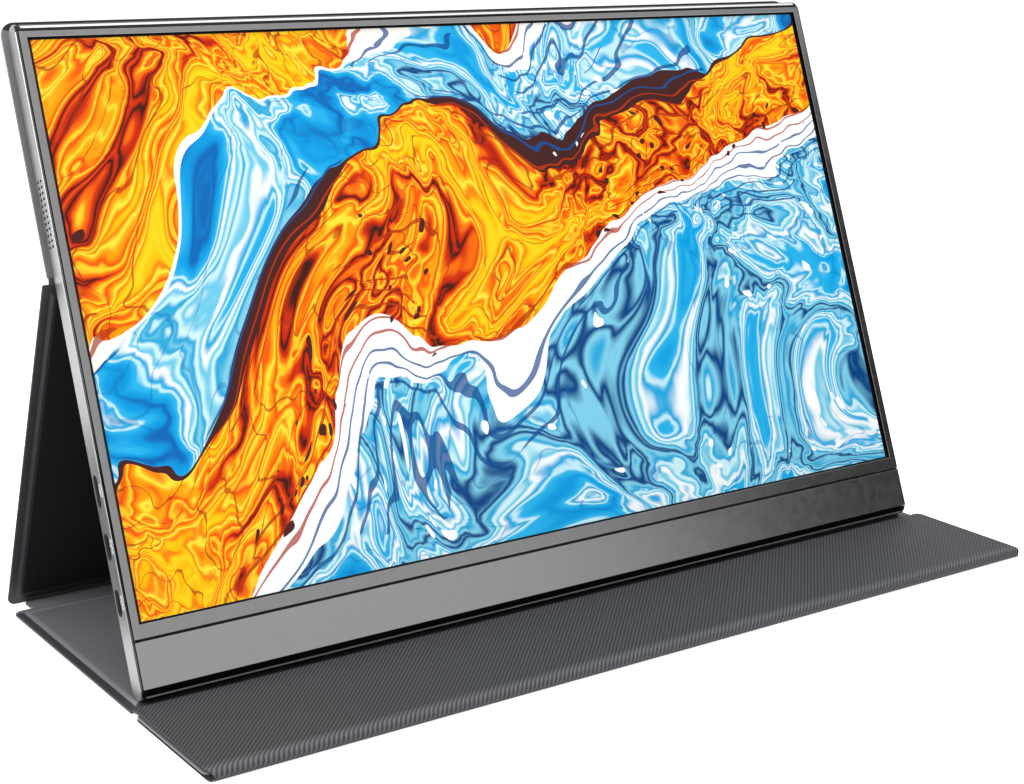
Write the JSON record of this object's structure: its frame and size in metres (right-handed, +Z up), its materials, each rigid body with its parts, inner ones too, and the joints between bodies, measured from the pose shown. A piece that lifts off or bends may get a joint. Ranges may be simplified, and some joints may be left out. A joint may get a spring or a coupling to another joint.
{
  "type": "portable monitor with cover",
  "caption": "Slim widescreen monitor leaning in a folding magnetic cover, with side ports, a tented rear leg and a ribbed front leaf.",
  "frame": {"origin": "on the table, under the middle of the open cover's footprint", "axes": "+X to the right along the screen, +Y away from the viewer, +Z up"},
  "size_m": [0.3614, 0.1665, 0.2118],
  "materials": {
    "bezel": "satin",
    "chin": "satin",
    "shell": "satin",
    "end_plate": "satin",
    "gasket": "matt",
    "tape": "matt",
    "screen": "gloss",
    "films": "satin",
    "guide": "clear",
    "reflector": "white",
    "tray": "plain",
    "led": "plain",
    "pcb": "solder mask",
    "ribbon": "plain",
    "socket": "plated",
    "jack": "matt",
    "speaker": "matt",
    "screw": "plated",
    "disc": "plain",
    "foam": "foam",
    "control": "satin",
    "cover_skin": "smooth grain",
    "cover_lining": "smooth",
    "card": "card",
    "magnet": "plated",
    "twill": "ribbed twill"
  },
  "bodies": {
    "case": {"front_bezel": "bezel", "chin_strip": "chin", "back_shell": "shell", "left_end_plate": "end_plate", "right_end_plate": "end_plate", "end_gaskets": "gasket", "bezel_tape": "tape", "lcd_glass": "screen", "optical_films": "films", "light_guide": "guide", "reflector_sheet": "reflector", "panel_tray": "tray", "led_strip": "led", "source_board": "pcb", "main_board": "pcb", "board_ribbon": "ribbon", "hdmi_socket": "socket", "usb_c_sockets": "socket", "headphone_socket": "jack", "key_board": "pcb", "speakers": "speaker", "board_screws": "screw", "steel_discs": "disc", "foam_strips": "foam"},
    "power_button": {"power_button": "control"},
    "menu_rocker": {"menu_rocker": "control"},
    "back_panel": {"back_skin": "cover_skin", "back_lining": "cover_lining", "back_board": "card", "back_magnets": "magnet"},
    "leg": {"leg_skin": "cover_skin", "leg_lining": "cover_lining", "leg_board": "card", "back_crease": "cover_skin"},
    "spine": {"spine_skin": "cover_skin", "spine_stay": "card", "spine_lining": "cover_lining", "foot_crease": "cover_skin"},
    "base": {"base_skin": "cover_skin", "base_lining": "cover_lining", "base_board": "card", "front_crease": "cover_skin", "rear_crease": "cover_skin"},
    "front_leaf": {"leaf_lining": "twill", "leaf_board": "card", "leaf_skin": "cover_skin"},
    "under_leaf": {"under_lining": "twill", "under_board": "card", "under_skin": "cover_skin", "under_magnets": "magnet"}
  },
  "joints": [
    {"name": "spine_fold", "type": "hinge", "parent": "base", "child": "spine", "pos_m": [0, 0.07504, 0.00085], "axis": [-1, 0, 0], "range_deg": [0, 90]},
    {"name": "leg_fold", "type": "hinge", "parent": "spine", "child": "leg", "pos_m": [0, 0.08254, 0.0013], "axis": [-1, 0, 0], "range_deg": [0, 14]},
    {"name": "back_fold", "type": "hinge", "parent": "leg", "child": "back_panel", "pos_m": [0, 0.03247, 0.13], "axis": [1, 0, 0], "range_deg": [0, 24.94]},
    {"name": "case_lift", "type": "slide", "parent": "back_panel", "child": "case", "axis": [0, 0.3665, 0.9304], "range_m": [0, 0.23]},
    {"name": "power_press", "type": "slide", "parent": "case", "child": "power_button", "axis": [-1, 0, 0], "range_m": [0, 0.0004], "stiffness_N_per_m": 800},
    {"name": "menu_rock", "type": "hinge", "parent": "case", "child": "menu_rocker", "pos_m": [0.172, -0.00404, 0.04809], "axis": [0, 0.9304, -0.3665], "range_deg": [-3, 3], "stiffness_Nm_per_rad": 0.05},
    {"name": "leaf_fold", "type": "hinge", "parent": "base", "child": "front_leaf", "pos_m": [0, -0.02888, 0.00155], "axis": [-1, 0, 0], "range_deg": [0, 90]},
    {"name": "under_fold", "type": "hinge", "parent": "front_leaf", "child": "under_leaf", "pos_m": [0, -0.08173, 0.00145], "axis": [-1, 0, 0], "range_deg": [0, 180]}
  ],
  "couplings": [
    {"joint": "back_fold", "follows": "leg_fold", "ratio": 1.78}
  ]
}
